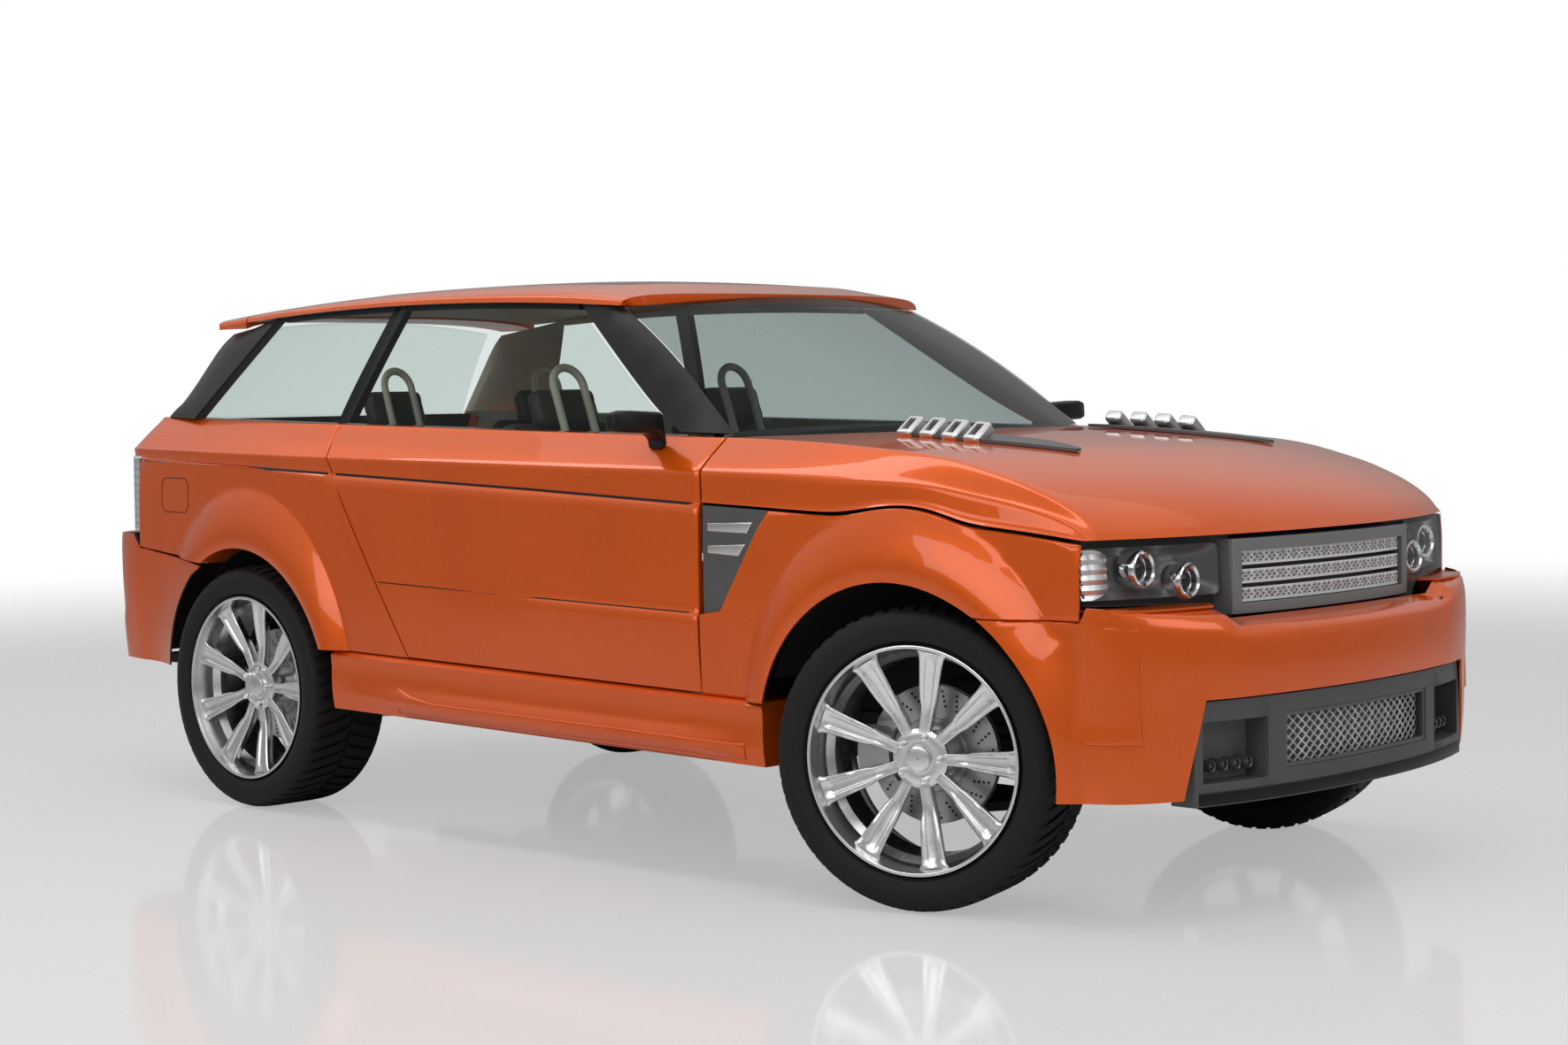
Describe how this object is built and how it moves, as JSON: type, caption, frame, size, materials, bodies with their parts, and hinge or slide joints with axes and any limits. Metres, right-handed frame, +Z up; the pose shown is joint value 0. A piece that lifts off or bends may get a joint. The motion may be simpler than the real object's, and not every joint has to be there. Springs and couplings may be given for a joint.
{
  "type": "sport utility vehicle",
  "caption": "Two-door sport utility vehicle with flared arches, clamshell bonnet, opening doors and tailgate, steered front wheels and a hollow cabin with seats.",
  "frame": {"origin": "ground below the middle of the length, on the centre line", "axes": "+X forward, +Y to the car's left, +Z up"},
  "size_m": [4.64, 2.104, 1.6636],
  "materials": {
    "paint": "metallic gloss",
    "under": "satin black",
    "engine": "raw",
    "steel": "satin",
    "alloy": "satin",
    "tyre": "matt",
    "trim": "gloss black",
    "grey": "satin dark grey",
    "glass": "tinted",
    "dark_glass": "dark tint",
    "lamp": "clear lens",
    "cabin": "dark leather",
    "dash": "satin"
  },
  "bodies": {
    "car_body": {"body_tub": "under", "chassis_frame": "under", "engine_block": "engine", "exhaust": "steel", "fuel_tank": "under", "driveline": "steel", "front_arms": "under", "rear_arms": "under", "front_wings": "paint", "side_vents": "grey", "sills": "paint", "rear_quarters": "paint", "front_bumper": "paint", "bumper_insert": "grey", "grille": "grey", "headlamps": "lamp", "rear_bumper": "paint", "tail_lamps": "lamp", "cowl": "trim", "windscreen": "glass", "roof": "paint", "roof_glass": "dark_glass", "pillars": "trim", "quarter_glasses": "dark_glass", "dashboard": "dash", "front_seats": "cabin", "rear_seats": "cabin"},
    "door_left": {"door_l": "paint", "door_glass_l": "dark_glass", "mirror_l": "trim"},
    "door_right": {"door_r": "paint", "door_glass_r": "dark_glass", "mirror_r": "trim"},
    "bonnet_lid": {"bonnet": "paint", "bonnet_vents": "grey"},
    "tail_lid": {"tailgate": "paint", "tailgate_glass": "dark_glass", "spoiler": "paint"},
    "steer_left": {"knuckle_l": "steel"},
    "steer_right": {"knuckle_r": "steel"},
    "road_wheel_fl": {"wheel_fl": "alloy", "tyre_fl": "tyre"},
    "road_wheel_fr": {"wheel_fr": "alloy", "tyre_fr": "tyre"},
    "road_wheel_rl": {"wheel_rl": "alloy", "tyre_rl": "tyre"},
    "road_wheel_rr": {"wheel_rr": "alloy", "tyre_rr": "tyre"},
    "hand_wheel": {"steering_wheel": "dash"}
  },
  "joints": [
    {"name": "door_left_hinge", "type": "hinge", "parent": "car_body", "child": "door_left", "pos_m": [0.74, 0.885, 0.775], "axis": [0, 0, -1], "range_deg": [0, 65]},
    {"name": "door_right_hinge", "type": "hinge", "parent": "car_body", "child": "door_right", "pos_m": [0.74, -0.885, 0.775], "axis": [0, 0, 1], "range_deg": [0, 65]},
    {"name": "bonnet_hinge", "type": "hinge", "parent": "car_body", "child": "bonnet_lid", "pos_m": [0.798, 0, 1.197], "axis": [0, -1, 0], "range_deg": [0, 50]},
    {"name": "tailgate_hinge", "type": "hinge", "parent": "car_body", "child": "tail_lid", "pos_m": [-1.592, 0, 1.616], "axis": [0, 1, 0], "range_deg": [0, 75]},
    {"name": "steer_left", "type": "hinge", "parent": "car_body", "child": "steer_left", "pos_m": [1.502, 0.738, 0.386], "axis": [0, 0, 1], "range_deg": [-51, 19]},
    {"name": "steer_right", "type": "hinge", "parent": "car_body", "child": "steer_right", "pos_m": [1.502, -0.738, 0.386], "axis": [0, 0, 1], "range_deg": [-51, 19]},
    {"name": "hand_wheel_turn", "type": "hinge", "parent": "car_body", "child": "hand_wheel", "pos_m": [0.47, 0.37, 0.96], "axis": [-0.9063, 0, 0.4226], "range_deg": [-718, 270]},
    {"name": "wheel_fl_spin", "type": "hinge", "parent": "steer_left", "child": "road_wheel_fl", "pos_m": [1.48574, 0.79471, 0.386], "axis": [-0.2756, 0.9613, 0], "continuous": true},
    {"name": "wheel_fr_spin", "type": "hinge", "parent": "steer_right", "child": "road_wheel_fr", "pos_m": [1.51826, -0.79471, 0.386], "axis": [-0.2756, 0.9613, 0], "continuous": true},
    {"name": "wheel_rl_spin", "type": "hinge", "parent": "car_body", "child": "road_wheel_rl", "pos_m": [-1.243, 0.797, 0.386], "axis": [0, 1, 0], "continuous": true},
    {"name": "wheel_rr_spin", "type": "hinge", "parent": "car_body", "child": "road_wheel_rr", "pos_m": [-1.243, -0.797, 0.386], "axis": [0, 1, 0], "continuous": true}
  ],
  "couplings": [
    {"joint": "steer_right", "follows": "steer_left", "ratio": 1},
    {"joint": "hand_wheel_turn", "follows": "steer_left", "ratio": 14}
  ]
}
